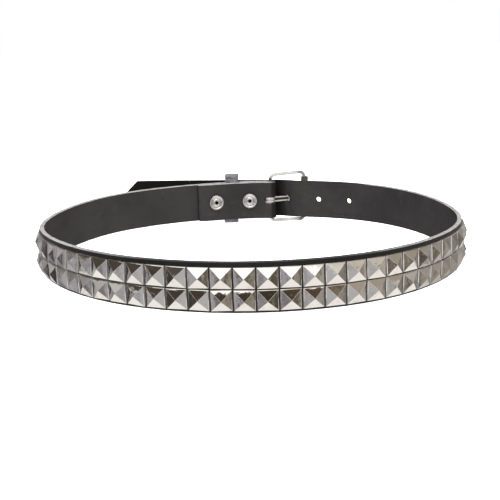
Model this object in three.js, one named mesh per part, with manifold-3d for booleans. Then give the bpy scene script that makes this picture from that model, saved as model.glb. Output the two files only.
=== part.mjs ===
// A studded leather belt, fastened into a loop and standing on its lower edge.
// Millimetres, +Z up. The buckle is at the back (+Y) and the studs face outwards.
import * as THREE from 'three';
import { mergeVertices } from 'three/addons/utils/BufferGeometryUtils.js';
import Module from 'manifold-3d';

const wasm = await Module();
wasm.setup();

// Strap
const strapWidth = 35;
const strapThickness = 3.5;
const strapEdge = 0.5; // bevel along both edges of the strap
const loopHalfWidth = 168.7; // from the middle of the loop to the outer face
const loopHalfDepth = 144.6;
const foldAngle = 82; // where the heel bar stands, seen from above
const flapLength = 71.8; // folded end, from the heel bar
const flapEndGap = 0.5;
const tailLength = 166.5; // from the hole in use to the tip
const tailStandoff = 4.6; // how far the tail swings away from the fold
const standoffLength = 105;
const foldEase = 1.8; // slack of the billet over the fold
const riseLength = 29.4; // from the heel bar to where the billet leaves the loop's curve
const clearance = 0.3; // between pieces that touch

// Outline of the loop from above: shares of an ellipse's radius, anticlockwise from +X
const loopShape = [
  { angle: 0, reach: 0.999 },
  { angle: 30, reach: 1.021 },
  { angle: 60, reach: 1.018 },
  { angle: 90, reach: 0.997 },
  { angle: 120, reach: 0.97 },
  { angle: 150, reach: 0.994 },
  { angle: 180, reach: 0.999 },
  { angle: 210, reach: 0.974 },
  { angle: 240, reach: 0.986 },
  { angle: 270, reach: 1.0 },
  { angle: 300, reach: 1.001 },
  { angle: 330, reach: 0.988 },
];

// Billet holes
const holeDiameter = 5;
const holeSpacing = 30.5;
const holesEachSide = 2; // on each side of the hole in use

// Buckle
const wireDiameter = 3;
const buckleHeight = 47;
const buckleLength = 32.2; // heel bar to end bar, centre to centre
const buckleRise = 1.5; // it sits a little high on the strap
const floorGap = 0.1; // under the buckle
const buckleCorner = 4.2;
const buckleBow = 1.2; // outward bow of the two side wires
const barKnob = 1.2; // the heel bar's ends beyond its corners

// Roller, loose on the end bar
const rollerDiameter = 6.8;
const rollerWall = 0.6;
const rollerLength = 37.8;
const rollerLean = 2; // degrees, its upper end away from the heel bar
const rollerSeat = 0.5; // between the roller and the billet

// Prong
const prongThickness = 2.2;
const prongWidth = 5.2; // at the heel bar
const prongTipWidth = 3.4;
const prongOverhang = 2.6; // past the roller's centre
const curlWall = 1.5;
const channelDepth = 0.7; // hollow back of the prong
const channelWidth = 2.4;
const slotHeight = 6.4;
const slotReach = 5.5; // slot behind the heel bar

// Keeper
const keeperWidth = 13;
const keeperThickness = 1.5;
const keeperPlace = 37.8; // from the heel bar
const keeperSeat = 0.45; // between the keeper and the leather beside it
const keeperSlack = 3.1; // above and below the strap
const keeperRise = 0.75; // it sits a little high on the strap
const keeperCorner = 2.4;

// Snaps
const snapPlaces = [20.8, 54.7]; // from the heel bar
const snapDiameter = 14.5;
const snapHeight = 1.9;
const capDiameter = 12.6;
const capHeight = 1.8;
const postDiameter = 4;

// Studs
const studSide = 15;
const studGap = 0.3; // between two studs of a row
const rowGap = 0.25;
const lowerMargin = 1.45; // from the strap's lower edge to the lower row
const studSkirt = 1.1;
const studPeak = 3.2; // pyramid above its skirt
const studWeb = 0.4; // thin strip that joins the studs of a row
const studStart = 81.2; // from the heel bar to the first stud
const studEndMargin = 40; // from the last stud to the outermost hole

// Steps of the curves
const routeStep = 2; // degrees between the points of the route
const plainStep = 7; // between the sections of the bare strap
const bendStep = 4.5; // between the sections where the billet bends
const foldSteps = 8;
const roundSides = 16;
const wireSides = 5; // half of the sides round a wire

const wireRadius = wireDiameter / 2;
const smooth = (x) => THREE.MathUtils.smoothstep(x, 0, 1);
const mix = THREE.MathUtils.lerp;
const up = new THREE.Vector3(0, 0, 1);
const turnOut = (v) => new THREE.Vector3(v.y, -v.x, 0);
const spread = (from, to, step) => {
  const count = Math.max(1, Math.round((to - from) / step));
  return Array.from({ length: count }, (_, index) => mix(from, to, index / count));
};

// The loop's outer face, seen from above
const turns = [-360, 0, 360];
const reachCurve = new THREE.SplineCurve(
  turns.flatMap((turn) => loopShape.map((row) => new THREE.Vector2(row.angle + turn, row.reach))),
);

function loopPoint(angle) {
  const rows = (THREE.MathUtils.euclideanModulo(angle, 360) + 360) * loopShape.length / 360;
  const reach = reachCurve.getPoint(rows / (turns.length * loopShape.length - 1)).y;
  const turn = THREE.MathUtils.degToRad(angle);
  const radius = reach / Math.hypot(Math.cos(turn) / loopHalfWidth, Math.sin(turn) / loopHalfDepth);
  return new THREE.Vector3(radius * Math.cos(turn), radius * Math.sin(turn), 0);
}

// Local axes on the strap: x back along it, y outwards, z up
function axesAt(point, travel) {
  const matrix = new THREE.Matrix4().makeBasis(travel.clone().negate(), turnOut(travel), up);
  return matrix.setPosition(point);
}

// The buckle's axes stand on the heel bar, with x towards the end bar
const foldTravel = loopPoint(foldAngle + 1).sub(loopPoint(foldAngle - 1)).normalize();
const foldInset = strapThickness + clearance + wireRadius;
const heelBar = loopPoint(foldAngle).addScaledVector(turnOut(foldTravel), -foldInset);
const buckleAxes = axesAt(heelBar, foldTravel);
const fromBuckle = (along, out) => new THREE.Vector3(along, out, 0).applyMatrix4(buckleAxes);
const toBuckle = (point) => point.clone().applyMatrix4(buckleAxes.clone().invert());

// The billet's outer face passes over the fold and runs on as the tail
const foldTip = wireRadius + clearance + strapThickness;
const overFold = foldTip + clearance + strapThickness + foldEase;
const tailOut = (along) => overFold + tailStandoff * smooth((foldTip - along) / standoffLength);

function routePoints() {
  const points = spread(foldAngle, foldAngle + 270, routeStep).map(loopPoint);
  for (const angle of spread(foldAngle + 270, foldAngle + 360, routeStep)) {
    const local = toBuckle(loopPoint(angle));
    if (local.x < foldTip + plainStep / 2) break;
    const weight = smooth((riseLength - local.x) / (riseLength - foldTip));
    points.push(fromBuckle(local.x, mix(local.y, tailOut(local.x), weight)));
  }
  for (let along = foldTip; along > -tailLength; along -= plainStep) {
    points.push(fromBuckle(along, tailOut(along)));
  }
  return points;
}

const route = new THREE.CatmullRomCurve3(routePoints());
route.arcLengthDivisions = 6000;
const routeLength = route.getLength();

// A section of the strap at a distance from the heel bar, on the outer face
function section(distance) {
  const share = THREE.MathUtils.clamp(distance / routeLength, 0, 1);
  const point = route.getPointAt(share);
  const travel = route.getTangentAt(share).setZ(0).normalize();
  const out = turnOut(travel);
  return { point, out, axes: axesAt(point, travel) };
}

// The first distance on the billet where a test on the buckle's axes holds
function billetPlace(test) {
  let distance = routeLength - 2 * tailLength;
  while (!test(section(distance)) && distance < routeLength) distance += 0.2;
  return distance;
}

const passes = (along) => billetPlace((place) => toBuckle(place.point).x < along);

// The roller rests on the billet, and the prong rests on the roller
const billetOut = toBuckle(section(passes(buckleLength)).point).y;
const endBarOut = billetOut + rollerSeat + rollerDiameter / 2;
const prongSeat = rollerDiameter / 2 + clearance + prongThickness / 2;
const endBarReach = Math.hypot(buckleLength, endBarOut);
const prongSlope = Math.atan2(endBarOut, buckleLength) + Math.asin(prongSeat / endBarReach);
const prongAxes = buckleAxes.clone()
  .multiply(new THREE.Matrix4().makeTranslation(0, 0, strapWidth / 2))
  .multiply(new THREE.Matrix4().makeRotationZ(prongSlope));

const buckleMiddle = new THREE.Matrix4().makeTranslation(0, 0, strapWidth / 2 + buckleRise)
  .premultiply(buckleAxes);

const usedHole = billetPlace((place) => {
  const middle = place.point.clone().addScaledVector(place.out, -strapThickness / 2);
  const local = toBuckle(middle);
  return local.y > local.x * Math.tan(prongSlope);
});
const strapEnd = usedHole + tailLength;
const bendStart = passes(buckleLength + 3 * plainStep);
const bendEnd = passes(-buckleLength);

// Sections of the strap, with one flat facet behind each stud
const studPitch = studSide + studGap;
const studRoom = usedHole - holesEachSide * holeSpacing - studEndMargin - studStart;
const studEnd = studStart + Math.floor(studRoom / studPitch) * studPitch;
const studSections = spread(studStart, studEnd, studPitch).concat(studEnd).map(section);
const sections = [
  ...spread(0, studStart, plainStep).map(section),
  ...studSections,
  ...spread(studEnd, bendStart, plainStep).slice(1).map(section),
  ...spread(bendStart, bendEnd, bendStep).map(section),
  ...spread(bendEnd, strapEnd, 2 * plainStep).map(section),
  section(strapEnd),
];

// Gap between the strap and its folded flap
const barGap = 2 * (wireRadius + clearance);
const keeperGap = keeperThickness + 2 * keeperSeat;

function flapGap(distance) {
  const firstSnap = snapPlaces[0] - snapDiameter / 2;
  const lastSnap = snapPlaces[snapPlaces.length - 1] + snapDiameter / 2;
  const opened = mix(barGap, keeperGap, smooth(distance / firstSnap));
  return mix(opened, flapEndGap, smooth((distance - lastSnap) / (flapLength - lastSnap)));
}

// Closed solids, joined and cut
function solidOf(geometry) {
  const bare = geometry.clone();
  bare.deleteAttribute('normal');
  bare.deleteAttribute('uv');
  const merged = mergeVertices(bare, 1e-4);
  return new wasm.Manifold(new wasm.Mesh({
    numProp: 3,
    vertProperties: new Float32Array(merged.attributes.position.array),
    triVerts: new Uint32Array(merged.index.array),
  }));
}

function geometryOf(solid) {
  const mesh = solid.getMesh();
  const geometry = new THREE.BufferGeometry();
  geometry.setAttribute('position', new THREE.BufferAttribute(mesh.vertProperties, 3));
  geometry.setIndex(new THREE.BufferAttribute(mesh.triVerts, 1));
  return geometry;
}

const join = (geometries) => geometries.map(solidOf).reduce((whole, piece) => whole.add(piece));
const cut = (solid, cutters) =>
  cutters.map(solidOf).reduce((rest, cutter) => rest.subtract(cutter), solid);

// Prisms of an outline: standing on x and y, facing out on x and z, or crossing on y and z
function prism(outline, from, to, bevel = 0) {
  const shape = outline instanceof THREE.Shape ? outline : new THREE.Shape(outline);
  const settings = { depth: to - from - 2 * bevel, curveSegments: 4, bevelEnabled: bevel > 0 };
  const edge = { bevelThickness: bevel, bevelSize: bevel, bevelOffset: -bevel, bevelSegments: 1 };
  return new THREE.ExtrudeGeometry(shape, { ...settings, ...edge }).translate(0, 0, from + bevel);
}

const xAxis = new THREE.Vector3(1, 0, 0);
const yAxis = new THREE.Vector3(0, 1, 0);
const facing = new THREE.Matrix4().makeBasis(xAxis, up, yAxis.clone().negate());
const crossing = new THREE.Matrix4().makeBasis(yAxis, up, xAxis);
const facingPrism = (outline, from, to) => prism(outline, -to, -from).applyMatrix4(facing);
const crossingPrism = (outline, from, to) => prism(outline, from, to).applyMatrix4(crossing);
const pin = (radius, from, to) =>
  new THREE.CylinderGeometry(radius, radius, to - from, roundSides).translate(0, (from + to) / 2, 0);

const corners = (pairs) => pairs.map(([x, y]) => new THREE.Vector2(x, y));
const onFace = (place, distance) => {
  const point = place.point.clone().addScaledVector(place.out, distance);
  return new THREE.Vector2(point.x, point.y);
};

function foldArc(radius, from, to) {
  return Array.from({ length: foldSteps + 1 }, (_, index) => {
    const angle = THREE.MathUtils.degToRad(mix(from, to, index / foldSteps));
    const point = fromBuckle(radius * Math.cos(angle), radius * Math.sin(angle));
    return new THREE.Vector2(point.x, point.y);
  });
}

// One continuous strap: flap, fold round the heel bar, loop, billet and pointed tail
function makeStrap() {
  const walls = sections.slice(1);
  const flap = spread(0, flapLength, plainStep).concat(flapLength).slice(1);
  const flapFace = (layers) => flap.map((distance) =>
    onFace(section(distance), -(layers * strapThickness + flapGap(distance))));
  const outline = [
    ...foldArc(foldTip, -90, 90),
    ...walls.map((place) => onFace(place, 0)),
    ...walls.map((place) => onFace(place, -strapThickness)).reverse(),
    ...foldArc(wireRadius + clearance, 90, -90),
    ...flapFace(1),
    ...flapFace(2).reverse(),
  ];

  const middle = strapWidth / 2;
  const slack = 2 * clearance;
  const holes = [];
  for (let index = -holesEachSide; index <= holesEachSide; index++) {
    if (index === 0) continue;
    const hole = pin(holeDiameter / 2, -(strapThickness + slack), slack);
    const place = section(usedHole + index * holeSpacing);
    holes.push(hole.applyMatrix4(place.axes).translate(0, 0, middle));
  }

  const prongReach = Math.hypot(prongThickness, prongWidth) / 2 + clearance;
  const stretch = pin(prongReach, foldTip + slack, buckleLength).rotateZ(-Math.PI / 2);
  holes.push(stretch.applyMatrix4(prongAxes));

  const foldSide = foldTip + slack;
  const slot = new THREE.Shape(corners([[foldSide, -slotHeight / 2], [foldSide, slotHeight / 2]]));
  slot.absarc(slotHeight / 2 - slotReach, 0, slotHeight / 2, Math.PI / 2, Math.PI * 1.5, false);
  holes.push(facingPrism(slot, -foldSide, foldSide).applyMatrix4(buckleAxes).translate(0, 0, middle));

  for (const place of snapPlaces) {
    const through = pin(postDiameter / 2 + clearance, -(3 * strapThickness + barGap), slack);
    holes.push(through.applyMatrix4(section(place).axes).translate(0, 0, middle));
  }

  const tip = section(strapEnd).axes;
  for (const side of [-1, 1]) {
    const wedge = [[0, 0], [middle, middle], [middle, 2 * middle], [-middle, 2 * middle], [-middle, 0]];
    const outline = corners(wedge.map(([x, z]) => [x, side * z + middle]));
    holes.push(facingPrism(outline, -(strapThickness + slack), slack).applyMatrix4(tip));
  }
  return cut(solidOf(prism(outline, 0, strapWidth, strapEdge)), holes);
}

// A row of pyramid studs on a thin strip that follows the strap's facets
function makeStudRow(bottom) {
  const strip = [
    ...studSections.map((place) => onFace(place, clearance + studWeb)),
    ...studSections.map((place) => onFace(place, clearance)).reverse(),
  ];
  const corner = studSide / Math.SQRT2;
  const profile = corners([
    [0, clearance + studWeb / 2],
    [corner, clearance + studWeb / 2],
    [corner, clearance + studSkirt],
    [0, clearance + studSkirt + studPeak],
  ]);
  const studs = studSections.slice(1).map((place, index) => {
    const before = studSections[index].point;
    const middle = before.clone().lerp(place.point, 0.5);
    const travel = place.point.clone().sub(before).normalize();
    const stud = new THREE.LatheGeometry(profile, 4, Math.PI / 4);
    return stud.applyMatrix4(axesAt(middle, travel)).translate(0, 0, bottom + studSide / 2);
  });
  return join([prism(strip, bottom, bottom + studSide), ...studs]);
}

// Buckle: one bent wire with two bowed sides, a knobbed heel bar and a plain end bar
function makeBuckle() {
  const halfHeight = (buckleHeight - wireDiameter) / 2;
  const straight = halfHeight - buckleCorner;
  const bow = (x) => endBarOut * (x / buckleLength) + buckleBow * Math.sin(Math.PI * x / buckleLength);
  const cornerPoints = Array.from({ length: 5 }, (_, index) => {
    const angle = (index / 4) * Math.PI / 2;
    return [buckleCorner * (1 - Math.cos(angle)), straight + buckleCorner * Math.sin(angle)];
  });
  const side = [
    [0, straight - wireRadius],
    ...cornerPoints,
    [buckleLength * 0.3, halfHeight],
    [buckleLength * 0.5, halfHeight],
    [buckleLength * 0.7, halfHeight],
    ...cornerPoints.map(([x, z]) => [buckleLength - x, z]).reverse(),
    [buckleLength, straight - wireRadius],
  ];
  const wires = [-1, 1].map((end) => {
    const path = new THREE.CatmullRomCurve3(
      side.map(([x, z]) => new THREE.Vector3(x, bow(x), end * z)),
    );
    const round = new THREE.Shape().absarc(0, 0, wireRadius, 0, 2 * Math.PI);
    return new THREE.ExtrudeGeometry(round, { extrudePath: path, steps: 26, curveSegments: wireSides });
  });
  const reach = straight + barKnob;
  const heel = pin(wireRadius, -reach, reach).rotateX(Math.PI / 2);
  const end = pin(wireRadius, -straight, straight).rotateX(Math.PI / 2);
  end.translate(buckleLength, endBarOut, 0);
  return join([heel, end, ...wires].map((piece) => piece.applyMatrix4(buckleMiddle)));
}

// Roller: an open tube that leans on the end bar
function makeRoller() {
  const outer = rollerDiameter / 2;
  const inner = outer - rollerWall;
  const half = rollerLength / 2;
  const profile = corners([[outer, -half], [outer, half], [inner, half], [inner, -half], [outer, -half]]);
  const roller = new THREE.LatheGeometry(profile, 2 * roundSides).rotateX(Math.PI / 2);
  roller.rotateY(THREE.MathUtils.degToRad(rollerLean)).translate(buckleLength, endBarOut, 0);
  return solidOf(roller.applyMatrix4(buckleMiddle));
}

// Prong: curl round the heel bar and a tapered shank with a hollow back
function makeProng() {
  const curlRadius = wireRadius + clearance + curlWall;
  const curl = new THREE.Shape().absarc(0, 0, curlRadius, 0, 2 * Math.PI);
  curl.holes.push(new THREE.Path().absarc(0, 0, wireRadius + clearance, 0, 2 * Math.PI));
  const settings = { depth: prongWidth, curveSegments: roundSides, bevelEnabled: false };
  const ring = new THREE.ExtrudeGeometry(curl, settings).translate(0, 0, -prongWidth / 2);
  const reach = endBarReach + prongOverhang;
  const root = curlRadius - curlWall / 2;
  const shank = new THREE.Shape(corners([[root, prongWidth / 2], [root, -prongWidth / 2]]));
  shank.lineTo(reach - prongTipWidth / 2, -prongTipWidth / 2);
  shank.absarc(reach - prongTipWidth / 2, 0, prongTipWidth / 2, -Math.PI / 2, Math.PI / 2, false);
  const back = -prongThickness / 2;
  const channel = new THREE.BoxGeometry(buckleLength / 2, 2 * channelDepth, channelWidth);
  channel.translate(curlRadius + buckleLength / 4, back, 0);
  const prong = cut(join([ring, facingPrism(shank, back, -back)]), [channel]);
  return solidOf(geometryOf(prong).applyMatrix4(prongAxes));
}

// Keeper: a leather band between flap and strap, round the tail outside
function makeKeeper() {
  const place = section(keeperPlace);
  const inverse = place.axes.clone().invert();
  const opposite = spread(bendStart, strapEnd, 1).map(section)
    .map((there) => ({ out: there.out, local: there.point.clone().applyMatrix4(inverse) }))
    .filter(({ local }) => Math.abs(local.x) < keeperWidth / 2 + strapThickness);
  const inner = -(strapThickness + keeperSeat + keeperThickness);
  const outer = Math.max(...opposite.map(({ local }) => local.y)) + keeperSeat + keeperThickness;
  const across = opposite[Math.floor(opposite.length / 2)].out.clone().add(place.out);
  const between = across.transformDirection(inverse);
  const lean = new THREE.Matrix4().makeShear(0, 0, between.x / between.y, 0, 0, 0);
  const low = keeperRise - keeperSlack - keeperThickness;
  const high = strapWidth + keeperRise + keeperSlack + keeperThickness;
  const rounded = (inset) => {
    const radius = keeperCorner - inset;
    const path = new THREE.Path();
    path.absarc(outer - keeperCorner, low + keeperCorner, radius, -Math.PI / 2, 0, false);
    path.absarc(outer - keeperCorner, high - keeperCorner, radius, 0, Math.PI / 2, false);
    path.absarc(inner + keeperCorner, high - keeperCorner, radius, Math.PI / 2, Math.PI, false);
    path.absarc(inner + keeperCorner, low + keeperCorner, radius, Math.PI, 1.5 * Math.PI, false);
    return path.getPoints(4);
  };
  const band = new THREE.Shape(rounded(0));
  band.holes.push(new THREE.Path(rounded(keeperThickness)));
  return solidOf(crossingPrism(band, -keeperWidth / 2, keeperWidth / 2)
    .applyMatrix4(lean).applyMatrix4(place.axes));
}

// Snap: ring and dimpled dome inside, post through both layers, domed cap outside
function makeSnap(distance) {
  const place = section(distance);
  const seat = clearance + (snapDiameter / 2) ** 2 / (2 * loopHalfDepth);
  const inside = -(2 * strapThickness + flapGap(distance) + seat);
  const post = postDiameter / 2;
  const ring = snapDiameter / 2;
  const cap = capDiameter / 2;
  const profile = corners([
    [0, inside - 0.3 * snapHeight],
    [0.12 * snapDiameter, inside - 0.3 * snapHeight],
    [0.14 * snapDiameter, inside - 0.9 * snapHeight],
    [0.24 * snapDiameter, inside - 0.75 * snapHeight],
    [0.29 * snapDiameter, inside - 0.3 * snapHeight],
    [0.36 * snapDiameter, inside - 0.3 * snapHeight],
    [0.4 * snapDiameter, inside - 0.9 * snapHeight],
    [0.45 * snapDiameter, inside - snapHeight],
    [ring, inside - 0.6 * snapHeight],
    [ring, inside - 0.2 * snapHeight],
    [0.46 * snapDiameter, inside],
    [post, inside],
    [post, clearance],
    [cap, clearance],
    [cap, clearance + 0.35 * capHeight],
    [0.7 * cap, clearance + 0.85 * capHeight],
    [0, clearance + capHeight],
  ]);
  const snap = new THREE.LatheGeometry(profile, 20);
  return solidOf(snap.applyMatrix4(place.axes).translate(0, 0, strapWidth / 2));
}

// The buckle stands as low as the strap's front, so it lifts the back of the strap
const backLift = (buckleHeight - strapWidth) / 2 - buckleRise + floorGap;
const liftEnd = 0.9 * loopHalfDepth;

function lifted(solid) {
  const geometry = geometryOf(solid);
  const position = geometry.attributes.position;
  for (let index = 0; index < position.count; index++) {
    const lift = backLift * smooth(position.getY(index) / liftEnd);
    position.setZ(index, position.getZ(index) + lift);
  }
  geometry.computeVertexNormals();
  return geometry;
}

const leather = new THREE.MeshStandardMaterial({ color: '#2c2a2b', roughness: 0.62, metalness: 0 });
const keeperLeather = new THREE.MeshStandardMaterial({ color: '#6d6a70', roughness: 0.8, metalness: 0 });
const chrome = new THREE.MeshStandardMaterial({ color: '#c9c6c2', roughness: 0.12, metalness: 1 });
const nickel = new THREE.MeshStandardMaterial({ color: '#bdb9b2', roughness: 0.25, metalness: 1 });

const belt = new THREE.Group();

function add(name, solid, material) {
  const mesh = new THREE.Mesh(lifted(solid), material);
  mesh.name = name;
  belt.add(mesh);
}

add('strap', makeStrap(), leather);
add('studs_lower', makeStudRow(lowerMargin), chrome);
add('studs_upper', makeStudRow(lowerMargin + studSide + rowGap), chrome);
add('buckle_frame', makeBuckle(), nickel);
add('roller', makeRoller(), nickel);
add('prong', makeProng(), nickel);
add('keeper', makeKeeper(), keeperLeather);
snapPlaces.forEach((place, index) => add(`snap_${index + 1}`, makeSnap(place), nickel));

// The origin is under the middle of the belt, on the surface that it stands on
const box = new THREE.Box3().setFromObject(belt);
const centre = box.getCenter(new THREE.Vector3());
belt.position.set(-centre.x, -centre.y, -box.min.z);

export default belt;
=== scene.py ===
import math
import random

import bmesh
import bpy
from mathutils import Matrix, Vector


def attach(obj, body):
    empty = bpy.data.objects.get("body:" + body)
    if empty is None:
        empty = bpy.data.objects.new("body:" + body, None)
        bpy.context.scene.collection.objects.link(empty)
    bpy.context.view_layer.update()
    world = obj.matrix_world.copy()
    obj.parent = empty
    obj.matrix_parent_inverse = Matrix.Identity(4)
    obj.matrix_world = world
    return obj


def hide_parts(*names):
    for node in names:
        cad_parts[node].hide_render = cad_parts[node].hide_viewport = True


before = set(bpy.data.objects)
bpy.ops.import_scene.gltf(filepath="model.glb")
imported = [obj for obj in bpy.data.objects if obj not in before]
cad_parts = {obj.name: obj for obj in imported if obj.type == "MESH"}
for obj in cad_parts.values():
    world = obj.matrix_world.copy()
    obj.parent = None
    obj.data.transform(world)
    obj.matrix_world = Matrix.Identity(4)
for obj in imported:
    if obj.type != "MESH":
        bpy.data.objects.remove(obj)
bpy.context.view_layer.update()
scene = bpy.context.scene
mm = 0.001
print("frame loaded")

# Camera: low, in front of the belt, and turned slightly about its own axis
camera = {
    "place": (-1.06, -718.85, 184.6),
    "tiltDown": 14.0,
    "roll": -1.435,
    "lens": 64.8,
}


def addCamera(settings):
    lens = bpy.data.cameras.new("camera")
    lens.sensor_width = 36
    lens.lens = settings["lens"]
    lens.clip_start = 0.01
    eye = bpy.data.objects.new("camera", lens)
    tilt = Matrix.Rotation(math.radians(90 - settings["tiltDown"]), 4, "X")
    roll = Matrix.Rotation(math.radians(settings["roll"]), 4, "Z")
    eye.matrix_world = Matrix.Translation(Vector(settings["place"]) * mm) @ tilt @ roll
    scene.collection.objects.link(eye)
    scene.camera = eye


addCamera(camera)
scene.view_settings.view_transform = "Standard"
print("camera placed")


# Shader maths written as expressions
class Signal:
    def __init__(self, graph, socket):
        self.graph, self.socket = graph, socket

    def join(self, operation, first, second):
        return self.graph.node("ShaderNodeMath", {"operation": operation}, {0: first, 1: second})

    def __add__(self, other):
        return self.join("ADD", self, other)

    def __radd__(self, other):
        return self.join("ADD", other, self)

    def __sub__(self, other):
        return self.join("SUBTRACT", self, other)

    def __rsub__(self, other):
        return self.join("SUBTRACT", other, self)

    def __mul__(self, other):
        return self.join("MULTIPLY", self, other)

    def __truediv__(self, other):
        return self.join("DIVIDE", self, other)

    def least(self, other):
        return self.join("MINIMUM", self, other)

    def most(self, other):
        return self.join("MAXIMUM", self, other)

    def rise(self, low, high):
        settings = {"interpolation_type": "SMOOTHSTEP"}
        sockets = {0: self, 1: low, 2: high, 3: 0.0, 4: 1.0}
        return self.graph.node("ShaderNodeMapRange", settings, sockets)


class Graph:
    def __init__(self, owner):
        owner.use_nodes = True
        self.tree = owner.node_tree
        self.tree.nodes.clear()

    def node(self, kind, settings=None, sockets=None, out=0):
        made = self.tree.nodes.new(kind)
        for name, value in (settings or {}).items():
            if name == "stops":
                self.setStops(made.color_ramp.elements, value)
            else:
                setattr(made, name, value)
        for key, value in (sockets or {}).items():
            if isinstance(value, Signal):
                self.tree.links.new(value.socket, made.inputs[key])
            else:
                made.inputs[key].default_value = value
        return Signal(self, made.outputs[out]) if made.outputs else None

    def setStops(self, elements, stops):
        while len(elements) < len(stops):
            elements.new(1.0)
        for element, (place, colour) in zip(elements, stops):
            element.position = place
            element.color = (*colour, 1.0)

    def blend(self, share, first, second):
        opaque = [value if isinstance(value, Signal) else (*value, 1.0) for value in (first, second)]
        sockets = {0: share, 6: opaque[0], 7: opaque[1]}
        return self.node("ShaderNodeMix", {"data_type": "RGBA"}, sockets, 2)

    def noise(self, place, scale, detail=2.0, roughness=0.5):
        sockets = {"Vector": place, "Scale": scale, "Detail": detail, "Roughness": roughness}
        return self.node("ShaderNodeTexNoise", {}, sockets)

    def stretched(self, place, scale):
        return self.node("ShaderNodeMapping", {}, {"Vector": place, "Scale": scale})

    def bump(self, height, distance):
        sockets = {"Height": height, "Distance": distance, "Strength": 1.0}
        return self.node("ShaderNodeBump", {}, sockets)


def newFinish(name, colour):
    finish = bpy.data.materials.new(name)
    graph = Graph(finish)
    finish.diffuse_color = (*colour, 1.0)
    return finish, graph, graph.node("ShaderNodeTexCoord", out="Object")


def finishWith(graph, sockets):
    shader = graph.node("ShaderNodeBsdfPrincipled", {}, sockets)
    graph.node("ShaderNodeOutputMaterial", {}, {"Surface": shader})


# Studio: what the metal mirrors, in bands from below to the top, each painted round the horizon
studio = {
    "cloudScale": 3.4,
    "cloudTurn": 0.08,
    "cloudLift": 0.05,
    "streakScale": 17.0,
    "streakTurn": 0.05,
    "edges": {
        "below": (-0.55, -0.66),
        "horizon": (-0.14, -0.04),
        "middle": (0.28, 0.34),
        "high": (0.475, 0.505),
        "top": (0.84, 0.94),
    },
    "top": (1.5, 1.47, 1.42),
    "high": [(0.0, (0.36, 0.33, 0.29)), (0.14, (0.28, 0.25, 0.22)), (0.27, (0.08, 0.062, 0.046)),
             (0.385, (0.12, 0.1, 0.085)), (0.41, (1.9, 1.88, 1.85)), (0.575, (1.9, 1.88, 1.85)),
             (0.62, (0.95, 0.9, 0.8)), (0.7, (0.6, 0.54, 0.45)), (0.8, (0.46, 0.42, 0.36)),
             (1.0, (0.36, 0.33, 0.29))],
    "middle": [(0.0, (0.3, 0.28, 0.25)), (0.05, (0.08, 0.07, 0.062)), (0.09, (0.5, 0.47, 0.43)),
               (0.125, (0.07, 0.06, 0.055)), (0.165, (0.42, 0.4, 0.37)), (0.2, (0.1, 0.09, 0.08)),
               (0.32, (0.09, 0.075, 0.06)), (0.5, (0.06, 0.042, 0.026)), (0.58, (0.13, 0.09, 0.055)),
               (0.64, (0.5, 0.44, 0.36)), (0.8, (0.42, 0.38, 0.32)), (0.86, (0.13, 0.115, 0.1)),
               (0.91, (0.5, 0.46, 0.4)), (0.95, (0.12, 0.105, 0.09)), (1.0, (0.3, 0.28, 0.25))],
    "horizon": [(0.0, (0.36, 0.35, 0.34)), (0.045, (0.09, 0.08, 0.075)), (0.085, (0.62, 0.6, 0.6)),
                (0.12, (0.1, 0.09, 0.088)), (0.16, (0.6, 0.58, 0.58)), (0.2, (0.24, 0.22, 0.21)),
                (0.42, (1.3, 1.28, 1.25)), (0.58, (1.3, 1.28, 1.25)), (0.78, (0.5, 0.46, 0.42)),
                (0.85, (0.2, 0.18, 0.16)), (0.91, (0.6, 0.57, 0.53)), (0.955, (0.16, 0.145, 0.13)),
                (1.0, (0.36, 0.35, 0.34))],
    "low": [(0.0, (0.1, 0.095, 0.095)), (0.03, (0.5, 0.49, 0.51)), (0.075, (0.75, 0.74, 0.75)),
            (0.11, (0.2, 0.185, 0.19)), (0.145, (0.62, 0.6, 0.62)), (0.18, (0.22, 0.2, 0.2)),
            (0.22, (0.65, 0.63, 0.66)), (0.245, (0.07, 0.06, 0.055)), (0.285, (0.07, 0.06, 0.055)),
            (0.31, (0.55, 0.53, 0.55)), (0.34, (0.48, 0.46, 0.49)), (0.36, (0.2, 0.185, 0.19)),
            (0.385, (0.52, 0.5, 0.54)), (0.41, (0.24, 0.225, 0.23)), (0.45, (0.6, 0.59, 0.62)),
            (0.5, (0.62, 0.61, 0.62)), (0.555, (0.62, 0.61, 0.61)), (0.585, (0.12, 0.095, 0.07)),
            (0.61, (0.4, 0.37, 0.31)), (0.632, (0.07, 0.052, 0.035)), (0.655, (0.42, 0.39, 0.33)),
            (0.68, (0.13, 0.11, 0.085)), (0.71, (0.5, 0.47, 0.42)), (0.75, (0.2, 0.18, 0.15)),
            (0.79, (0.6, 0.57, 0.53)), (0.83, (0.22, 0.2, 0.18)), (0.87, (0.7, 0.67, 0.64)),
            (0.91, (0.26, 0.24, 0.23)), (0.94, (0.8, 0.78, 0.77)), (0.97, (0.45, 0.43, 0.42)),
            (1.0, (0.1, 0.095, 0.095))],
    "below": (1.24, 1.21, 1.17),
    "seenByCamera": (1.0, 1.0, 1.0),
    "fill": 1.0,
}


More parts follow.
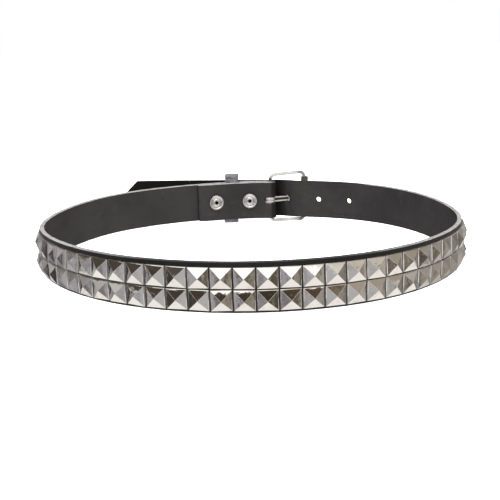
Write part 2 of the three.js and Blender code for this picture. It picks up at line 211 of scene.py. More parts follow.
def addStudio(settings):
    world = bpy.data.worlds.new("studio")
    scene.world = world
    graph = Graph(world)
    way = graph.node("ShaderNodeTexCoord", out="Generated")
    parts = graph.node("ShaderNodeSeparateXYZ", {}, {"Vector": way})
    across, depth, height = (Signal(graph, parts.socket.node.outputs[index]) for index in range(3))
    turn = graph.node("ShaderNodeMath", {"operation": "ARCTAN2"}, {0: across, 1: 0.0 - depth})
    cloud = graph.noise(way, settings["cloudScale"], 3.0) - 0.5
    streak = graph.noise(way, settings["streakScale"], 2.0) - 0.5
    share = turn / math.tau + 0.5 + cloud * settings["cloudTurn"] + streak * settings["streakTurn"]
    tall = height + cloud * settings["cloudLift"]
    edges = settings["edges"]
    bands = {}
    for name in ("low", "horizon", "middle", "high"):
        bands[name] = graph.node("ShaderNodeValToRGB", {"stops": settings[name]}, {"Fac": share})
    sky = graph.blend(tall.rise(*edges["below"]), bands["low"], settings["below"])
    for name in ("horizon", "middle", "high"):
        sky = graph.blend(tall.rise(*edges[name]), sky, bands[name])
    sky = graph.blend(tall.rise(*edges["top"]), sky, settings["top"])
    seen = graph.node("ShaderNodeLightPath", out="Is Camera Ray")
    colour = graph.blend(seen, sky, settings["seenByCamera"])
    light = graph.node("ShaderNodeBackground", {}, {"Color": colour, "Strength": settings["fill"]})
    graph.node("ShaderNodeOutputWorld", {}, {"Surface": light})


addStudio(studio)

# Lamps: soft light for the leather, not seen in the metal
lamps = [
    {"name": "overhead", "place": (0.0, -0.1, 1.3), "aim": (0, 0, 0), "size": 1.4, "power": 26},
    {"name": "frontFill", "place": (0.2, -1.6, 0.9), "aim": (0, 0, 0.02), "size": 0.9, "power": 16},
    {"name": "leftFill", "place": (-1.3, -0.2, 0.8), "aim": (0, 0, 0.02), "size": 0.7, "power": 7},
    {"name": "rightFill", "place": (1.3, 0.1, 0.8), "aim": (0, 0, 0.02), "size": 0.7, "power": 7},
]


def addLamp(settings):
    light = bpy.data.lights.new(settings["name"], "AREA")
    light.size = settings["size"]
    light.energy = settings["power"]
    lamp = bpy.data.objects.new(settings["name"], light)
    lamp.location = settings["place"]
    aim = Vector(settings["aim"]) - lamp.location
    lamp.rotation_euler = aim.to_track_quat("-Z", "Y").to_euler()
    lamp.visible_glossy = False
    scene.collection.objects.link(lamp)


for lamp in lamps:
    addLamp(lamp)


# Floor: plain and nearly white
floorLook = {
    "size": 12.0,
    "colour": (0.9, 0.9, 0.9),
    "shade": 0.99,
    "toneScale": 3.0,
    "roughness": 0.9,
    "glow": 0.85,
}


def addFloor(settings):
    finish, graph, place = newFinish("paleFloor", settings["colour"])
    tone = graph.noise(place, settings["toneScale"])
    shaded = [settings["shade"] * value for value in settings["colour"]]
    finishWith(graph, {
        "Base Color": graph.blend(tone, settings["colour"], shaded),
        "Roughness": settings["roughness"],
        "Emission Color": (1.0, 1.0, 1.0, 1.0),
        "Emission Strength": settings["glow"],
    })
    mesh = bmesh.new()
    bmesh.ops.create_grid(mesh, x_segments=1, y_segments=1, size=settings["size"] / 2)
    data = bpy.data.meshes.new("floor")
    mesh.to_mesh(data)
    mesh.free()
    data.materials.append(finish)
    floor = bpy.data.objects.new("floor", data)
    floor.visible_glossy = False
    scene.collection.objects.link(floor)


addFloor(floorLook)
print("studio lit")


# Leather: mottled and scuffed, with pebbled grain and loose fibres, and painted shade where the shade
# attribute is set
leatherGrain = {
    "fibreScale": 2.6,
    "drawnScale": (30.0, 30.0, 900.0),
    "scuffScale": 160.0,
    "scuffEdge": (0.56, 0.74),
    "mottleEdge": (0.3, 0.7),
    "mottleTone": 0.6,
    "fibreTone": 0.25,
    "drawnTone": 0.15,
    "pebbleEdge": (0.0, 0.22),
    "drawnRelief": 0.12,
    "mottleRoughness": 0.12,
    "pebblePolish": 0.05,
    "scuffRoughness": 0.15,
}


def leatherFinish(name, look):
    grain = leatherGrain
    finish, graph, place = newFinish(name, look["light"])
    cells = graph.node("ShaderNodeTexVoronoi", {"feature": "DISTANCE_TO_EDGE"},
                       {"Vector": place, "Scale": look["cells"]})
    fibre = graph.noise(place, look["cells"] * grain["fibreScale"], 5.0, 0.65)
    broad = graph.noise(place, look["mottle"], 4.0, 0.6)
    drawn = graph.noise(graph.stretched(place, grain["drawnScale"]), 1.0, 3.0)
    scuff = graph.noise(place, grain["scuffScale"], 6.0, 0.7).rise(*grain["scuffEdge"]) * look["scuffs"]
    tone = broad.rise(*grain["mottleEdge"]) * grain["mottleTone"] + fibre * grain["fibreTone"]
    tone = tone + drawn * grain["drawnTone"]
    colour = graph.blend(tone, look["dark"], look["light"])
    colour = graph.blend(scuff, colour, look["scuffColour"])
    pebble = cells.rise(*grain["pebbleEdge"])
    height = pebble * look["pebble"] + fibre * look["fibre"] + drawn * grain["drawnRelief"]
    # painted shade: the colour goes towards the look's shaded colour where the shade attribute is high
    shade = graph.node("ShaderNodeAttribute", {"attribute_name": "shade"}, {}, "Fac")
    colour = graph.blend(shade.least(1.0), colour, look["shaded"])
    roughness = look["roughness"] + broad * grain["mottleRoughness"] - pebble * grain["pebblePolish"]
    finishWith(graph, {
        "Base Color": colour,
        "Roughness": roughness + scuff * grain["scuffRoughness"],
        "Specular IOR Level": look["gloss"],
        "Normal": graph.bump(height, look["relief"]),
    })
    return finish


fleshSide = leatherFinish("charcoalFleshSide", {
    "dark": (0.013, 0.012, 0.0122), "light": (0.0245, 0.0226, 0.023),
    "scuffColour": (0.042, 0.039, 0.039), "shaded": (0.0022, 0.0021, 0.0015),
    "mottle": 22.0, "cells": 1500.0, "pebble": 0.25, "fibre": 0.75, "relief": 0.00012,
    "roughness": 0.66, "gloss": 0.17, "scuffs": 0.5,
})
grainSide = leatherFinish("blackGrainSide", {
    "dark": (0.005, 0.0046, 0.0046), "light": (0.012, 0.011, 0.011),
    "scuffColour": (0.03, 0.028, 0.027), "shaded": (0.003, 0.003, 0.003),
    "mottle": 22.0, "cells": 950.0, "pebble": 0.7, "fibre": 0.3, "relief": 0.00014,
    "roughness": 0.36, "gloss": 0.24, "scuffs": 0.3,
})
rawEdge = leatherFinish("greyCutEdge", {
    "dark": (0.15, 0.146, 0.15), "light": (0.33, 0.322, 0.33),
    "scuffColour": (0.08, 0.077, 0.08), "shaded": (0.02, 0.02, 0.02),
    "mottle": 160.0, "cells": 1900.0, "pebble": 0.2, "fibre": 0.9, "relief": 0.0002,
    "roughness": 0.72, "gloss": 0.25, "scuffs": 0.6,
})
inkedEdge = leatherFinish("inkedEdge", {
    "dark": (0.009, 0.0085, 0.0085), "light": (0.024, 0.023, 0.023),
    "scuffColour": (0.07, 0.067, 0.064), "shaded": (0.004, 0.004, 0.004),
    "mottle": 120.0, "cells": 1700.0, "pebble": 0.3, "fibre": 0.8, "relief": 0.00015,
    "roughness": 0.55, "gloss": 0.3, "scuffs": 0.5,
})
keeperLeather = leatherFinish("rawGreyLeather", {
    "dark": (0.055, 0.053, 0.058), "light": (0.27, 0.262, 0.284),
    "scuffColour": (0.03, 0.029, 0.031), "shaded": (0.03, 0.03, 0.03),
    "mottle": 260.0, "cells": 1100.0, "pebble": 0.15, "fibre": 1.0, "relief": 0.0007,
    "roughness": 0.88, "gloss": 0.12, "scuffs": 0.9,
})


# Plated metal: dented, scratched and tarnished, with soot, and painted shade in gaps, hollows and holes,
# where its attribute says so
platedWear = {
    "scratchScale": (420.0, 420.0, 9000.0),
    "scratchEdge": (0.62, 0.78),
    "hairScale": (6000.0, 6000.0, 300.0),
    "hairEdge": (0.64, 0.8),
    "cloudScale": 90.0,
    "tarnishEdge": (0.5, 0.78),
    "sootAndShadeGloss": 0.12,
    "tarnishRoughness": 0.16,
    "scratchRoughness": 0.06,
    "grimeAndShadeRoughness": 0.4,
    "roughest": 0.8,
}


def platedFinish(name, look):
    wear = platedWear
    finish, graph, place = newFinish(name, look["plate"])
    dents = graph.noise(place, look["dentScale"], 2.0, 0.55)
    scratch = graph.noise(graph.stretched(place, wear["scratchScale"]), 1.0, 4.0, 0.7)
    hair = graph.noise(graph.stretched(place, wear["hairScale"]), 1.0, 3.0, 0.7)
    cloud = graph.noise(place, wear["cloudScale"], 5.0, 0.65)
    tarnishAndShade = cloud.rise(*wear["tarnishEdge"]) * look["tarnishAndShade"]
    grime = graph.node("ShaderNodeAttribute", {"attribute_name": "grime"}, {}, "Fac").least(1.0)
    colour = graph.blend(cloud, look["plate"], look["warm"])
    colour = graph.blend(tarnishAndShade.least(1.0), colour, look["stain"])
    # painted shade: places marked in the attribute turn to the dark soot colour and lose their metal
    colour = graph.blend(grime, colour, look["sootAndShade"])
    lines = scratch.rise(*wear["scratchEdge"]).most(hair.rise(*wear["hairEdge"]))
    height = dents + lines * look["scratchDepth"]
    roughness = look["roughness"] + tarnishAndShade * wear["tarnishRoughness"] + lines * wear["scratchRoughness"]
    roughness = roughness + grime * wear["grimeAndShadeRoughness"]
    finishWith(graph, {
        "Base Color": colour,
        "Metallic": 1.0 - grime,
        "Specular IOR Level": wear["sootAndShadeGloss"],
        "Roughness": roughness.least(wear["roughest"]),
        "Normal": graph.bump(height, look["dentDepth"]),
    })
    return finish


studPlate = platedFinish("brightStudPlate", {
    "plate": (0.7, 0.685, 0.665), "warm": (0.64, 0.615, 0.585), "stain": (0.3, 0.25, 0.2),
    "sootAndShade": (0.001, 0.001, 0.001), "dentScale": 140.0, "dentDepth": 0.0002, "scratchDepth": 0.004,
    "roughness": 0.06, "tarnishAndShade": 0.3,
})
wirePlate = platedFinish("brightWirePlate", {
    "plate": (0.86, 0.85, 0.84), "warm": (0.78, 0.75, 0.72), "stain": (0.3, 0.25, 0.2),
    "sootAndShade": (0.013, 0.0115, 0.01), "dentScale": 260.0, "dentDepth": 0.00012, "scratchDepth": 0.01,
    "roughness": 0.16, "tarnishAndShade": 0.2,
})
snapPlate = platedFinish("brightSnapPlate", {
    "plate": (0.88, 0.875, 0.87), "warm": (0.8, 0.785, 0.77), "stain": (0.3, 0.26, 0.22),
    "sootAndShade": (0.001, 0.001, 0.001), "dentScale": 300.0, "dentDepth": 0.0001, "scratchDepth": 0.01,
    "roughness": 0.21, "tarnishAndShade": 0.12,
})
print("finishes mixed")


# Shared steps for the pieces
def finishPiece(name, mesh, finishes, nodes, smoothAngle):
    bmesh.ops.recalc_face_normals(mesh, faces=mesh.faces)
    data = bpy.data.meshes.new(name)
    mesh.to_mesh(data)
    mesh.free()
    for finish in finishes:
        data.materials.append(finish)
    piece = bpy.data.objects.new(name, data)
    scene.collection.objects.link(piece)
    data.shade_smooth()
    data.set_sharp_from_angle(angle=math.radians(smoothAngle))
    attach(piece, "root")
    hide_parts(*nodes)
    return piece


def weightNormals(piece):
    steady = piece.modifiers.new("steadyFaces", "WEIGHTED_NORMAL")
    steady.keep_sharp = True
    steady.weight = 80


def clamp(value):
    return max(0.0, min(1.0, value))


def roundEdges(mesh, edges, offset, segments=2):
    bmesh.ops.bevel(mesh, geom=edges, offset=offset, offset_type="OFFSET", segments=segments,
                    profile=0.5, affect="EDGES", material=-1)


def cadMesh(node):
    mesh = bmesh.new()
    mesh.from_mesh(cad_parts[node].data)
    bmesh.ops.remove_doubles(mesh, verts=mesh.verts, dist=1e-6)
    return mesh


def spinRound(mesh, geometry, steps):
    bmesh.ops.spin(mesh, geom=geometry, cent=(0, 0, 0), axis=(0, 0, 1), angle=math.tau, steps=steps,
                   use_merge=True)


# Strap: cut and folded leather with a flesh side, a grain side and two kinds of edge
strapLook = {
    "middle": (0.0, -6.88),
    "heelBar": (19.889, 131.893),
    "heelTurn": -3.2546,
    "inkedFrom": 105.0,
    "tailOut": 6.3,
    "tailStart": 8.0,
    "billetOut": 5.3,
    "finePart": (3.0, 32.0),
    "fineEdge": 3.5,
    "shadeFrom": 26.0,
    "shadeFull": 8.0,
    "shadeCurve": 1.5,
    "foldStart": 1.0,
    "foldShade": 0.75,
    "shadedEdgeAbove": 34.2,
    "edgeShade": 0.95,
    "edgeShadeWidth": 70.0,
    "edgeShadeFade": 60.0,
    "upward": 0.5,
    "downward": -0.95,
    "outward": 0.1,
}


def buckleMatrix(look, lift):
    place = Matrix.Translation(Vector((*look["heelBar"], lift)) * mm)
    return place @ Matrix.Rotation(math.radians(look["heelTurn"]), 4, "Z")


def makeStrap(look):
    mesh = cadMesh("strap")
    toBuckle = buckleMatrix(look, 0).inverted()
    middle = Vector((*look["middle"], 0)) * mm
    for _ in range(3):  # short edges round the prong's hole, for even shading
        longEdges = []
        for edge in mesh.edges:
            local = toBuckle @ ((edge.verts[0].co + edge.verts[1].co) / 2) / mm
            near = look["finePart"][0] < local.x < look["finePart"][1] and local.y > look["billetOut"]
            if near and edge.calc_length() > look["fineEdge"] * mm:
                longEdges.append(edge)
        bmesh.ops.subdivide_edges(mesh, edges=longEdges, cuts=1)
        bmesh.ops.triangulate(mesh, faces=mesh.faces)
    shade = mesh.verts.layers.float.new("shade")
    for vert in mesh.verts:
        local = toBuckle @ vert.co / mm
        if local.y > look["billetOut"]:  # painted shade on the billet and tail, where they lie behind the folded end
            share = (look["shadeFrom"] - local.x) / (look["shadeFrom"] - look["shadeFull"])
            vert[shade] = clamp(share) ** look["shadeCurve"]
        elif look["foldStart"] < local.x < look["shadeFull"]:  # painted shade on the fold's corner
            vert[shade] = look["foldShade"]
        if vert.co.y < 0 and vert.co.z > look["shadedEdgeAbove"] * mm:  # painted shade on the top edge at the front, fading towards the sides
            shadeFading = (abs(vert.co.x) / mm - look["edgeShadeWidth"]) / look["edgeShadeFade"]
            vert[shade] = look["edgeShade"] - look["edgeShade"] * clamp(shadeFading)
    for face in mesh.faces:
        centre = face.calc_center_median()
        local = toBuckle @ centre / mm
        onTail = local.y > look["tailOut"] and local.x < look["tailStart"]
        onBillet = local.x > look["tailStart"] and centre.x < look["inkedFrom"] * mm
        inked = onTail or onBillet and centre.y > 0
        outward = face.normal.dot((centre - middle).normalized())
        if face.normal.z > look["upward"] or face.normal.z < look["downward"]:
            face.material_index = 3 if inked else 2
        else:
            face.material_index = 1 if outward > look["outward"] else 0
    finishes = [fleshSide, grainSide, rawEdge, inkedEdge]
    piece = finishPiece("belt_strap", mesh, finishes, ["strap"], smoothAngle=55)
    weightNormals(piece)


makeStrap(strapLook)
print("strap finished")

# Studs: pressed square pyramids, each a little different
studLook = {
    "side": 14.64,
    "skirt": 1.4,
    "peak": 3.2,
    "rimRound": 0.6,
    "ridgeRound": 0.12,
    "nod": 0.95,
    "tilt": 2.1,
    "spin": 0.5,
    "rowTilt": 2.3,
    "sink": 0.22,
    "sinkSpread": (-1.0, 0.4),
    "sinkBand": (0.2, 2.88),
    "leastCrease": 0.25,
    "ridgeAbove": 0.3,
    "shadeBelow": -0.62,
    "shadeOutside": 0.9,
    "leastFacet": 4e-5,
    "pointed": 0.85,
}


def studEdges(mesh, look, rounded):
    # the rim lies at the height 0 and the ridges rise from it
    chosen = []
    for edge in mesh.edges:
        low, high = sorted(vert.co.z for vert in edge.verts)
        if edge.calc_face_angle(0) <= look["leastCrease"] or low <= -0.9 * look["skirt"]:
            continue
        onRim = high - low < 0.05 and abs(low) < 0.05
        onRidge = high > look["ridgeAbove"]
        if rounded == "rim" and onRim or rounded == "ridge" and onRidge:
            chosen.append(edge)
    return chosen


def studTemplate(look, seed):
    chance = random.Random(seed)
    mesh = bmesh.new()
    bmesh.ops.create_cube(mesh, size=1.0)
    bmesh.ops.scale(mesh, vec=(look["side"], look["side"], look["skirt"]), verts=mesh.verts)
    bmesh.ops.translate(mesh, vec=(0, 0, -look["skirt"] / 2), verts=mesh.verts)
    top = [face for face in mesh.faces if face.normal.z > 0.9]
    bmesh.ops.poke(mesh, faces=top, offset=look["peak"])
    ridges = [edge for edge in mesh.edges if max(vert.co.z for vert in edge.verts) > look["peak"] / 2]
    bmesh.ops.subdivide_edges(mesh, edges=ridges, cuts=1)
    low, high = look["sinkBand"]
    for vert in mesh.verts:
        if low < vert.co.z < high:  # no facet is quite flat
            vert.co.z += chance.uniform(*look["sinkSpread"]) * look["sink"]
    roundEdges(mesh, studEdges(mesh, look, "rim"), look["rimRound"])
    roundEdges(mesh, studEdges(mesh, look, "ridge"), look["ridgeRound"])
    # painted shade: the deep lower sides of each stud, in the gaps between studs, are painted near-black
    grime = mesh.verts.layers.float.new("grime")
    for vert in mesh.verts:
        outer = max(abs(vert.co.x), abs(vert.co.y)) / (look["side"] / 2)
        vert[grime] = 1.0 if vert.co.z < look["shadeBelow"] and outer > look["shadeOutside"] else 0.0
    return mesh


def studPlaces(node, look):
    # a stud of the CAD is found by its peak, where four wide facets meet
    mesh = cadMesh(node)
    places = []
    for vert in mesh.verts:
        faces = vert.link_faces
        if len(faces) != 4 or min(face.calc_area() for face in faces) < look["leastFacet"]:
            continue
        out = sum((face.normal for face in faces), Vector()).normalized()
        if min(out.dot(face.normal) for face in faces) < look["pointed"]:
            continue
        corners = [edge.other_vert(vert).co for edge in vert.link_edges]
        ordered = sorted(corners, key=lambda corner: corner.z)
        up = ordered[2] + ordered[3] - ordered[0] - ordered[1]
        centre = sum(corners, Vector()) / 4
        along = up.cross(out).normalized()
        up = out.cross(along).normalized()
        turned = Matrix((along, up, out)).transposed().to_4x4()
        places.append(Matrix.Translation(centre) @ turned @ Matrix.Scale(mm, 4))
    mesh.free()
    return sorted(places, key=lambda place: math.atan2(place.translation.x, -place.translation.y))


def makeStudRow(name, node, look, lean):
    chance = random.Random(node)
    row = bmesh.new()
    stage = bpy.data.meshes.new("stage")
    for index, place in enumerate(studPlaces(node, look)):
        stud = studTemplate(look, chance.random())
        tip = Matrix.Rotation(math.radians(-lean + chance.gauss(0, look["nod"])), 4, "X")
        yaw = Matrix.Rotation(math.radians(chance.gauss(0, look["tilt"])), 4, "Y")
        spin = Matrix.Rotation(math.radians(chance.gauss(0, look["spin"])), 4, "Z")
        stud.transform(place @ tip @ yaw @ spin)
        stud.to_mesh(stage)
        stud.free()
        row.from_mesh(stage)
    bpy.data.meshes.remove(stage)
    print(name, index + 1, "studs")
    piece = finishPiece(name, row, [studPlate], [node], smoothAngle=35)
    weightNormals(piece)


makeStudRow("stud_row_lower", "studs_lower", studLook, -studLook["rowTilt"])
makeStudRow("stud_row_upper", "studs_upper", studLook, studLook["rowTilt"])
print("studs set")

# Buckle frame: one bent wire with a knobbed heel bar, in the heel bar's own axes
buckleLook = {
    "wire": 1.5,
    "height": 47.0,
    "length": 32.2,
    "corner": 4.2,
    "cornerSteps": 8,
    "sideSteps": 14,
    "bow": 1.2,
    "endOut": 6.397,
    "knob": 1.2,
    "flare": 1.9,
    "tarnishAndShade": 2.2,
    "steepShadeFrom": 0.5,
    "knobRound": 0.5,
    "barRound": 0.2,
    "knobDark": {"depth": 1.6, "below": 1.5, "above": 2.0},
    "endDark": 0.8,
    "darkest": 0.97,
    "lift": 23.6,
}


def sweep(mesh, ring, frames):
    # moves a ring of vertices from frame to frame, extruding its edges on the way
    edges = list({edge for vert in ring for edge in vert.link_edges})
    for before, after in zip(frames, frames[1:]):
        made = bmesh.ops.extrude_edge_only(mesh, edges=edges)["geom"]
        ring = [item for item in made if isinstance(item, bmesh.types.BMVert)]
        edges = [item for item in made if isinstance(item, bmesh.types.BMEdge)]
        edges = [edge for edge in edges if all(vert in ring for vert in edge.verts)]
        bmesh.ops.transform(mesh, matrix=after @ before.inverted(), verts=ring)
    return ring, edges


def pathFrames(points, side):
    frames = []
    for index, point in enumerate(points):
        before, after = points[max(index - 1, 0)], points[min(index + 1, len(points) - 1)]
        along = (after - before).normalized()
        across = side.cross(along).normalized()
        turned = Matrix((across, along.cross(across), along)).transposed().to_4x4()
        frames.append(Matrix.Translation(point) @ turned)
    return frames


def roundBar(mesh, radius, low, high, place, endRound):
    made = bmesh.ops.create_cone(mesh, cap_ends=True, segments=28, radius1=radius, radius2=radius,
                                 depth=high - low)["verts"]
    bmesh.ops.translate(mesh, vec=(*place, (low + high) / 2), verts=made)
    rims = {edge for vert in made for edge in vert.link_edges
            if abs(edge.verts[0].co.z - edge.verts[1].co.z) < 1e-5}
    roundEdges(mesh, list(rims), endRound, 3)


def bowedOut(look, x):
    slope = look["endOut"] / look["length"]
    return slope * x + look["bow"] * math.sin(math.pi * x / look["length"])


def makeBuckle(look):
    half = (look["height"] - 2 * look["wire"]) / 2
    straight = half - look["corner"]
    corner = []
    for step in range(look["cornerSteps"] + 1):
        angle = math.radians(90 * step / look["cornerSteps"])
        height = straight + look["corner"] * math.sin(angle)
        corner.append((look["corner"] * (1 - math.cos(angle)), height))
    span = look["length"] - 2 * look["corner"]
    steps = look["sideSteps"]
    flat = [(look["corner"] + span * step / steps, half) for step in range(1, steps)]
    end = [(look["length"] - x, z) for x, z in reversed(corner)]
    inner = straight - look["wire"]
    route = [(0, inner), *corner, *flat, *end, (look["length"], inner)]
    mesh = bmesh.new()
    for way in (-1, 1):
        points = []
        for x, z in route:
            flare = max(way, 0) * look["flare"] * x / look["length"]
            points.append(Vector((x, bowedOut(look, x), way * z + flare)))
        frames = pathFrames(points, Vector((0, 1, 0)))
        ring = bmesh.ops.create_circle(mesh, cap_ends=True, segments=20, radius=look["wire"])["verts"]
        bmesh.ops.transform(mesh, matrix=frames[0], verts=ring)
        lastEdges = sweep(mesh, ring, frames)[1]
        bmesh.ops.edgeloop_fill(mesh, edges=lastEdges)
    reach = straight + look["knob"]
    roundBar(mesh, look["wire"], -reach, reach, (0, 0), look["knobRound"])
    top = straight + look["flare"]
    roundBar(mesh, look["wire"], -straight, top, (look["length"], look["endOut"]), look["barRound"])
    grime = mesh.verts.layers.float.new("grime")
    mesh.normal_update()
    sootAndShade = look["knobDark"]
    # painted shade on the wire's faces turned up or down, darker the steeper they face; also darker at the
    # knob and towards the end bar
    for vert in mesh.verts:
        onKnob = vert.co.x < sootAndShade["depth"] and -sootAndShade["below"] < vert.co.z - straight < sootAndShade["above"]
        fromEnd = look["length"] - vert.co.x
        nearRoller = clamp((2 * look["corner"] - fromEnd) / look["corner"])
        steep = max(0.0, abs(vert.normal.z) - look["steepShadeFrom"]) / (1 - look["steepShadeFrom"])
        share = look["endDark"] * nearRoller + look["tarnishAndShade"] * steep
        vert[grime] = look["darkest"] if onKnob else min(look["darkest"], share)
    bmesh.ops.scale(mesh, vec=(mm, mm, mm), verts=mesh.verts)
    mesh.transform(buckleMatrix(strapLook, look["lift"]))
    finishPiece("buckle_wire", mesh, [wirePlate], ["buckle_frame"], smoothAngle=40)


makeBuckle(buckleLook)

# Roller: a thin tube, loose on the end bar and leaning
rollerLook = {
    "outer": 3.4,
    "wall": 0.6,
    "half": 18.9,
    "lean": 2.0,
    "lift": 0.4,
    "rimRound": 0.22,
    "steps": 40,
    "shadedEnd": 6.0,
    "sootAndShade": 0.98,
    "soil": 0.5,
}


def makeRoller(look):
    mesh = bmesh.new()
    ring = bmesh.ops.create_grid(mesh, x_segments=1, y_segments=1, size=1.0)["verts"]
    middle = look["outer"] - look["wall"] / 2
    stretch = Matrix.Diagonal((look["wall"] / 2, look["half"], 1, 1))
    stand = Matrix(((1, 0, 0, middle), (0, 0, 1, 0), (0, 1, 0, 0), (0, 0, 0, 1)))
    bmesh.ops.transform(mesh, matrix=stand @ stretch, verts=ring)
    bmesh.ops.delete(mesh, geom=mesh.faces[:], context="FACES_ONLY")
    spinRound(mesh, [*mesh.verts, *mesh.edges], look["steps"])
    rims = []
    for edge in mesh.edges:
        fromMiddle = abs(edge.verts[0].co.z + edge.verts[1].co.z) / 2
        if abs(fromMiddle - look["half"]) < 5e-5 and edge.calc_face_angle(0) > 1:
            rims.append(edge)
    roundEdges(mesh, rims, look["rimRound"])
    grime = mesh.verts.layers.float.new("grime")
    # painted shade inside the tube and along its top end; the rest is half dark
    for vert in mesh.verts:
        inShade = vert.co.xy.length < middle or vert.co.z > look["half"] - look["shadedEnd"]
        vert[grime] = look["sootAndShade"] if inShade else look["soil"]
    bmesh.ops.rotate(mesh, cent=(0, 0, 0), matrix=Matrix.Rotation(math.radians(look["lean"]), 3, "Y"),
                     verts=mesh.verts)
    place = (buckleLook["length"], buckleLook["endOut"], look["lift"])
    bmesh.ops.translate(mesh, vec=place, verts=mesh.verts)
    bmesh.ops.scale(mesh, vec=(mm, mm, mm), verts=mesh.verts)
    mesh.transform(buckleMatrix(strapLook, buckleLook["lift"]))
    finishPiece("buckle_roller", mesh, [wirePlate], ["roller"], smoothAngle=40)


makeRoller(rollerLook)

# Prong: a curl round the heel bar and a tapered shank with a hollow back
prongLook = {
    "slope": 19.643,
    "thickness": 2.2,
    "width": 5.2,
    "tipWidth": 3.4,
    "barSpace": 2.9,
    "wall": 1.8,
    "reach": 35.4,
    "grooveEnd": 19.0,
    "curlGroove": 1.2,
    "curlStretch": 1.3,
    "shankGroove": 1.6,
    "grooveWidth": 0.34,
    "hollowWidth": 0.68,
    "curlSoot": 0.2,
    "shankSoot": 0.42,
    "dentHalf": 0.17,
    "dentShade": 0.97,
    "hollowShade": (1.8, 0.2),
    "curlSteps": 36,
    "shankSteps": 16,
    "shankStart": 0.2,
    "tipRound": 1.7,
    "bluntness": 0.04,
    "thinning": (0.96, 0.12),
    "tipThickness": 0.3,
    "lift": 22.1,
}


def prongSection(mesh, look, capped, depth):
    # a ring with a radius of one, dented in the middle of one side, to be stretched into an oval
    ring = bmesh.ops.create_circle(mesh, cap_ends=capped, segments=28, radius=1.0)["verts"]
    for vert in ring:
        if vert.co.y < 0:
            vert.co.y += depth * math.exp(-((vert.co.x / look["grooveWidth"]) ** 2))
    return ring


def makeProng(look):
    mesh = bmesh.new()
    grime = mesh.verts.layers.float.new("grime")
    middle = look["barSpace"] + look["wall"] / 2
    # curl: the dented section spun round the heel bar
    ring = prongSection(mesh, look, False, look["curlGroove"])
    flat = (0, -look["wall"] / 2, 0, middle)
    tall = (look["width"] / 2, 0, 0, 0)
    bmesh.ops.transform(mesh, matrix=Matrix((flat, (0, 0, 1, 0), tall, (0, 0, 0, 1))), verts=ring)
    # painted shade in the dent along the middle of the curl's outer face
    for vert in ring:
        dented = vert.co.x > middle and abs(vert.co.z) < look["dentHalf"] * look["width"]
        vert[grime] = look["dentShade"] if dented else look["curlSoot"]
    edges = list({edge for vert in ring for edge in vert.link_edges})
    spinRound(mesh, [*ring, *edges], look["curlSteps"])
    for vert in mesh.verts:
        if vert.co.x < 0:
            vert.co.x *= look["curlStretch"]
    # shank: an oval carried out to the tip, growing narrower, then hollowed along its back
    start = middle + look["shankStart"]
    frames = []
    for step in range(look["shankSteps"] + 1):
        share = step / look["shankSteps"]
        along = start + (look["reach"] - start) * share
        onTip = max(0.0, (along - look["reach"] + look["tipRound"]) / look["tipRound"])
        rounding = math.sqrt(max(look["bluntness"], 1 - onTip ** 2))
        width = (look["width"] + (look["tipWidth"] - look["width"]) * share) * rounding
        thick = look["thickness"] * (look["thinning"][0] - look["thinning"][1] * share)
        thick *= look["tipThickness"] + (1 - look["tipThickness"]) * rounding
        turned = Matrix(((0, 0, 1, along), (0, 1, 0, 0), (1, 0, 0, 0), (0, 0, 0, 1)))
        frames.append(turned @ Matrix.Diagonal((width / 2, thick / 2, 1, 1)))
    before = set(mesh.verts)
    ring = prongSection(mesh, look, True, 0.0)
    bmesh.ops.transform(mesh, matrix=frames[0], verts=ring)
    lastEdges = sweep(mesh, ring, frames)[1]
    bmesh.ops.edgeloop_fill(mesh, edges=lastEdges)
    gain, offset = look["hollowShade"]
    for vert in set(mesh.verts) - before:
        half = look["width"] / 2 + (look["tipWidth"] - look["width"]) / 2 * vert.co.x / look["reach"]
        across = vert.co.z / half
        vert[grime] = look["shankSoot"]
        # painted shade along the hollow back of the shank, darkest in its middle
        if vert.co.y < 0 and vert.co.x < look["grooveEnd"]:
            dent = math.exp(-((across / look["hollowWidth"]) ** 2))
            vert.co.y += look["shankGroove"] * dent
            vert[grime] = max(look["shankSoot"], min(1.0, gain * dent - offset))
    bmesh.ops.scale(mesh, vec=(mm, mm, mm), verts=mesh.verts)
    tilt = Matrix.Rotation(math.radians(look["slope"]), 4, "Z")
    mesh.transform(buckleMatrix(strapLook, look["lift"]) @ tilt)
    finishPiece("buckle_prong", mesh, [wirePlate], ["prong"], smoothAngle=45)


makeProng(prongLook)
print("buckle bent")

# Keeper: a raw band whose cut edges have gone fluffy
keeperLook = {
    "lean": 2.0,
    "fluff": 0.066,
    "fray": 0.75,
    "frayWidth": 4.0,
    "frayPush": (-1, 0.6),
    "edgeRound": 0.3,
    "finer": (6.0, 3.0, 1.5),
    "seed": 4,
}


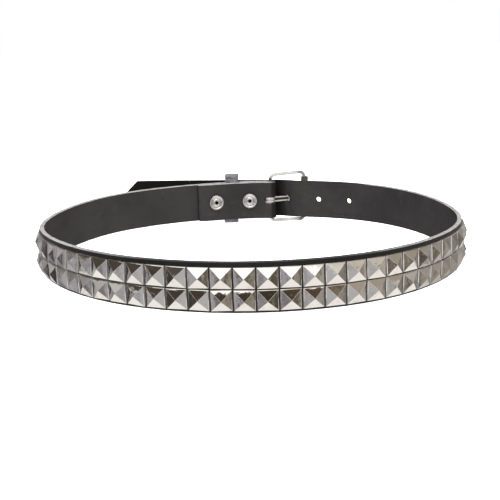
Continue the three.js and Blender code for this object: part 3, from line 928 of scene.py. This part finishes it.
def makeKeeper(look):
    chance = random.Random(look["seed"])
    mesh = cadMesh("keeper")
    bmesh.ops.dissolve_limit(mesh, angle_limit=math.radians(1), verts=mesh.verts, edges=mesh.edges)
    rims = [edge for edge in mesh.edges if edge.calc_face_angle(0) > math.radians(60)]
    roundEdges(mesh, rims, look["edgeRound"] * mm)
    bmesh.ops.triangulate(mesh, faces=mesh.faces)
    for length in look["finer"]:
        longEdges = [edge for edge in mesh.edges if edge.calc_length() > length * mm]
        bmesh.ops.subdivide_edges(mesh, edges=longEdges, cuts=1)
        bmesh.ops.triangulate(mesh, faces=mesh.faces)
    centre = sum((vert.co for vert in mesh.verts), Vector()) / len(mesh.verts)
    lean = Matrix.Rotation(math.radians(look["lean"]), 3, "Y")
    bmesh.ops.rotate(mesh, cent=centre, matrix=lean, verts=mesh.verts)
    mesh.normal_update()
    low = min(vert.co.z for vert in mesh.verts)
    high = max(vert.co.z for vert in mesh.verts)
    for vert in mesh.verts:
        free = max(0.0, 1 - min(vert.co.z - low, high - vert.co.z) / (look["frayWidth"] * mm))
        push = chance.gauss(0, look["fluff"])
        push += free * chance.uniform(*look["frayPush"]) * look["fray"]
        vert.co += vert.normal * push * mm
    finishPiece("raw_keeper", mesh, [keeperLeather], ["keeper"], smoothAngle=60)


makeKeeper(keeperLook)

# Snaps: a rolled ring and a dimpled dome inside, a domed cap outside
snapLook = {
    "steps": 48,
    "innerFace": -9.95,
    "holeRadius": 1.75,
    "holeDepth": (-1.2, 2.0),
    "post": 2.0,
    "inside": [
        (0.0, 1.2), (1.4, 1.2), (1.55, 0.2), (1.65, -1.1), (1.95, -1.55), (2.5, -1.75), (3.1, -1.62),
        (3.6, -1.25), (3.95, -0.7), (4.1, -0.3), (4.35, -0.25), (4.5, -0.4), (4.75, -1.05), (5.1, -1.5),
        (5.6, -1.76), (6.15, -1.86), (6.65, -1.74), (7.05, -1.25), (7.25, -0.65), (7.1, -0.15), (6.7, 0.0),
    ],
    "outside": [(2.0, 0.0), (2.0, 0.3), (6.1, 0.3), (6.3, 0.45), (6.3, 0.8), (6.0, 1.15), (5.2, 1.6),
                (3.8, 1.95), (2.0, 2.08), (0.0, 2.1)],
    "places": [
        {"node": "snap_1", "point": (-0.600, 137.259), "out": (-0.051, 0.999), "lift": 22.1},
        {"node": "snap_2", "point": (-34.053, 132.115), "out": (-0.243, 0.97), "lift": 22.08},
    ],
}


def chain(mesh, points):
    verts = [bmesh.ops.create_vert(mesh, co=point)["vert"][0] for point in points]
    return verts, [mesh.edges.new(pair) for pair in zip(verts, verts[1:])]


def makeSnap(look, place):
    mesh = bmesh.new()
    inner = [(radius, look["innerFace"] + height) for radius, height in look["inside"]]
    profile = [*inner, (look["post"], look["innerFace"]), *look["outside"]]
    verts, edges = chain(mesh, [Vector((radius, 0, height)) for radius, height in profile])
    spinRound(mesh, [*verts, *edges], look["steps"])
    bmesh.ops.remove_doubles(mesh, verts=mesh.verts, dist=1e-4)
    grime = mesh.verts.layers.float.new("grime")
    near, far = look["holeDepth"]
    # painted shade: the hole is painted black
    for vert in mesh.verts:
        depth = vert.co.z - look["innerFace"]
        inHole = vert.co.xy.length < look["holeRadius"] and near < depth < far
        vert[grime] = 1.0 if inHole else 0.0
    out = Vector((*place["out"], 0)).normalized()
    across = Vector((0, 0, 1)).cross(out)
    turned = Matrix((across, Vector((0, 0, 1)), out)).transposed().to_4x4()
    centre = Matrix.Translation(Vector((*place["point"], place["lift"])) * mm)
    mesh.transform(centre @ turned @ Matrix.Scale(mm, 4))
    node = place["node"]
    finishPiece(node + "_metal", mesh, [snapPlate], [node], smoothAngle=35)


for place in snapLook["places"]:
    makeSnap(snapLook, place)
print("snaps pressed")
